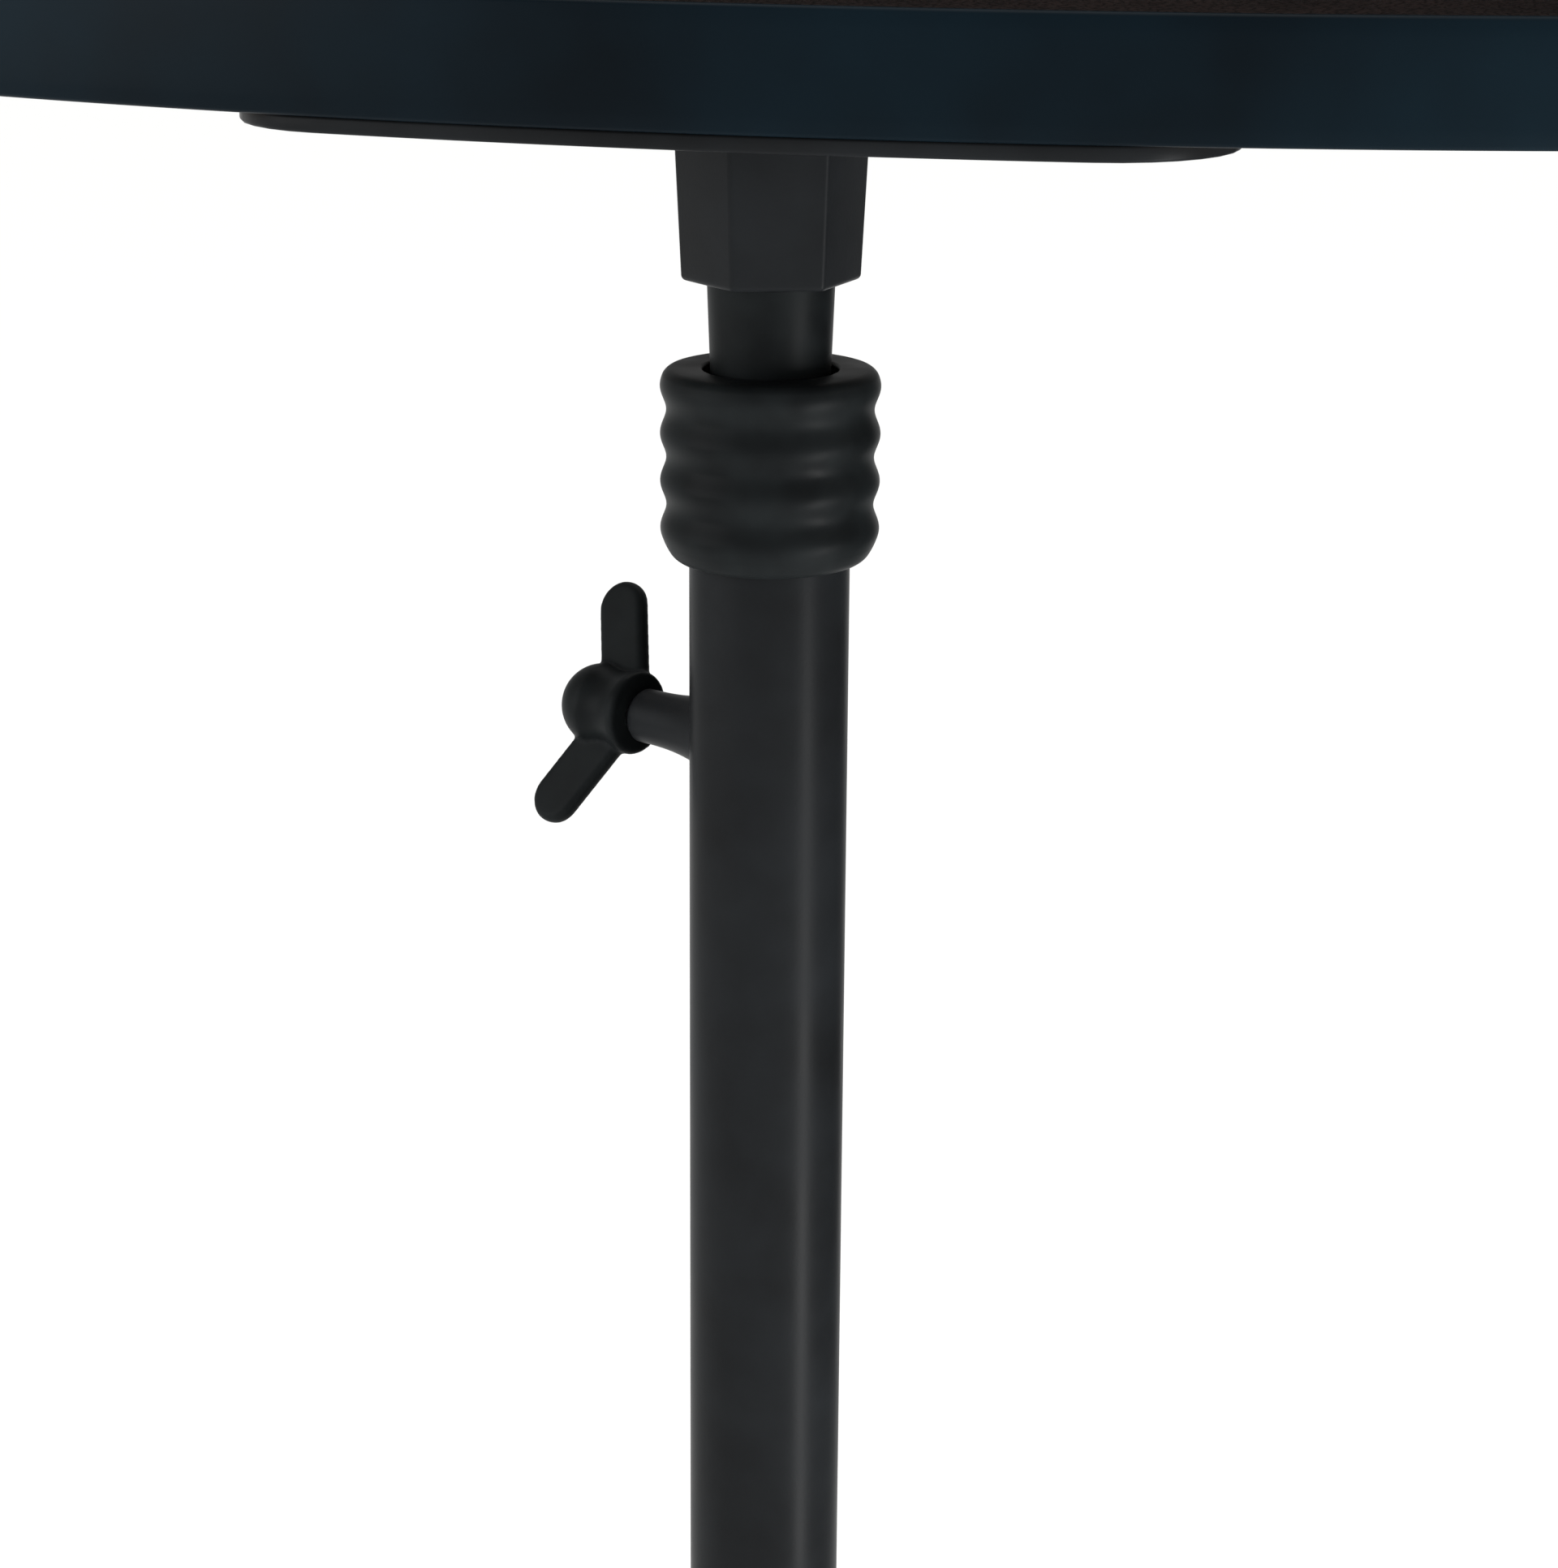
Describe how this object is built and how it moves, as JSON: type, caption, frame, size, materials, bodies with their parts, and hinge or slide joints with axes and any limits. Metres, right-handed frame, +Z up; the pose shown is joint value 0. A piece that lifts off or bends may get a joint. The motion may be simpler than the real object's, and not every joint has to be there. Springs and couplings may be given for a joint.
{
  "type": "music stand",
  "caption": "Height-adjustable music stand: a bow-fronted shelf with a tilting rest on a telescopic tube post with a wing screw and folding tripod legs.",
  "frame": {"origin": "on the floor, on the axis of the post, with the stand open and at its lowest height", "axes": "+Z up along the post; -Y to the player, where the shelf's bowed front is; +X to the player's right"},
  "size_m": [0.48, 0.4156, 0.9929],
  "materials": {
    "black_steel": "satin black powder coat, slightly cool",
    "black_nylon": "moulded black nylon, satin",
    "edge_band": "blue-black extruded edge band, satin gloss",
    "leatherette": "dark brown-black grained leatherette",
    "board": "pressed fibre board",
    "white_nylon": "natural nylon",
    "zinc_steel": "zinc-plated steel, blackened where it shows",
    "brass": "turned brass",
    "foot_rubber": "matt black rubber"
  },
  "bodies": {
    "stand": {"outer_tube": "black_steel", "collar": "black_nylon", "guide_bush": "white_nylon", "clamp_boss": "black_steel", "tube_plug": "black_nylon", "leg_crown": "black_nylon", "crown_pin": "zinc_steel", "leg_rivets": "zinc_steel"},
    "glide": {"glide": "white_nylon"},
    "mast": {"shelf_board": "board", "fascia_band": "edge_band", "shelf_mat": "leatherette", "mounting_plate": "black_steel", "plate_screws": "zinc_steel", "hub": "black_steel", "hub_screws": "zinc_steel", "hub_pin": "zinc_steel", "neck_sleeve": "black_nylon", "mast_tube": "black_steel", "mast_plug": "white_nylon", "glide_screw": "zinc_steel", "hinge_bracket_left": "black_steel", "hinge_bracket_right": "black_steel", "bracket_screws": "zinc_steel", "hinge_rivets": "zinc_steel", "friction_washers": "white_nylon"},
    "panel": {"panel_board": "board", "panel_skin": "leatherette", "panel_trim": "edge_band", "hinge_ear_left": "black_steel", "hinge_ear_right": "black_steel", "ear_screws": "zinc_steel"},
    "clamp_pad": {"clamp_pad": "brass"},
    "clamp_screw": {"clamp_stud": "zinc_steel", "clamp_wing_head": "black_nylon"},
    "runner": {"runner": "black_nylon", "runner_insert": "brass"},
    "runner_pad": {"runner_pad": "brass"},
    "runner_screw": {"runner_stud": "zinc_steel", "runner_wing_head": "black_nylon"},
    "leg_1": {"leg_1": "black_steel", "foot_1": "foot_rubber", "brace_rivet_1": "zinc_steel"},
    "brace_1": {"brace_1": "black_steel", "runner_rivet_1": "zinc_steel"},
    "leg_2": {"leg_2": "black_steel", "foot_2": "foot_rubber", "brace_rivet_2": "zinc_steel"},
    "brace_2": {"brace_2": "black_steel", "runner_rivet_2": "zinc_steel"},
    "leg_3": {"leg_3": "black_steel", "foot_3": "foot_rubber", "brace_rivet_3": "zinc_steel"},
    "brace_3": {"brace_3": "black_steel", "runner_rivet_3": "zinc_steel"}
  },
  "joints": [
    {"name": "mast_height", "type": "slide", "parent": "stand", "child": "glide", "axis": [0, 0, 1], "range_m": [0, 0.38]},
    {"name": "mast_turn", "type": "hinge", "parent": "glide", "child": "mast", "pos_m": [0, 0, 0.6334], "axis": [0, 0, 1], "continuous": true},
    {"name": "panel_tilt", "type": "hinge", "parent": "mast", "child": "panel", "pos_m": [0, 0.059, 0.66955], "axis": [-1, 0, 0], "range_deg": [-20, 70]},
    {"name": "clamp_travel", "type": "slide", "parent": "stand", "child": "clamp_pad", "axis": [-0.9063, 0.4226, 0], "range_m": [0, 0.003]},
    {"name": "clamp_turn", "type": "hinge", "parent": "clamp_pad", "child": "clamp_screw", "pos_m": [-0.02085, 0.00972, 0.5596], "axis": [-0.9063, 0.4226, 0], "range_deg": [0, 1080]},
    {"name": "leg_fold_1", "type": "hinge", "parent": "stand", "child": "leg_1", "pos_m": [0.024, 0, 0.18917], "axis": [0, 1, 0], "range_deg": [0, 43]},
    {"name": "brace_fold_1", "type": "hinge", "parent": "leg_1", "child": "brace_1", "pos_m": [0.08494, 0, 0.1343], "axis": [0, 1, 0], "range_deg": [-86, 0]},
    {"name": "leg_fold_2", "type": "hinge", "parent": "stand", "child": "leg_2", "pos_m": [-0.012, 0.02078, 0.18917], "axis": [-0.866, -0.5, 0], "range_deg": [0, 43]},
    {"name": "brace_fold_2", "type": "hinge", "parent": "leg_2", "child": "brace_2", "pos_m": [-0.04247, 0.07356, 0.1343], "axis": [-0.866, -0.5, 0], "range_deg": [-86, 0]},
    {"name": "leg_fold_3", "type": "hinge", "parent": "stand", "child": "leg_3", "pos_m": [-0.012, -0.02078, 0.18917], "axis": [0.866, -0.5, 0], "range_deg": [0, 43]},
    {"name": "brace_fold_3", "type": "hinge", "parent": "leg_3", "child": "brace_3", "pos_m": [-0.04247, -0.07356, 0.1343], "axis": [0.866, -0.5, 0], "range_deg": [-86, 0]},
    {"name": "runner_slide", "type": "slide", "parent": "stand", "child": "runner", "axis": [0, 0, -1], "range_m": [0, 0.05364]},
    {"name": "runner_clamp_travel", "type": "slide", "parent": "runner", "child": "runner_pad", "axis": [-1, 0, 0], "range_m": [0, 0.003]},
    {"name": "runner_clamp_turn", "type": "hinge", "parent": "runner_pad", "child": "runner_screw", "pos_m": [-0.023, 0, 0.07943], "axis": [-1, 0, 0], "range_deg": [0, 1080]}
  ],
  "couplings": [
    {"joint": "clamp_travel", "follows": "clamp_turn", "m_per_rad": 0.00015915},
    {"joint": "runner_clamp_travel", "follows": "runner_clamp_turn", "m_per_rad": 0.00015915},
    {"joint": "leg_fold_2", "follows": "leg_fold_1", "ratio": 1},
    {"joint": "leg_fold_3", "follows": "leg_fold_1", "ratio": 1},
    {"joint": "brace_fold_1", "follows": "leg_fold_1", "ratio": -2},
    {"joint": "brace_fold_2", "follows": "leg_fold_1", "ratio": -2},
    {"joint": "brace_fold_3", "follows": "leg_fold_1", "ratio": -2},
    {"joint": "runner_slide", "follows": "leg_fold_1", "m_per_rad": 0.071471}
  ]
}
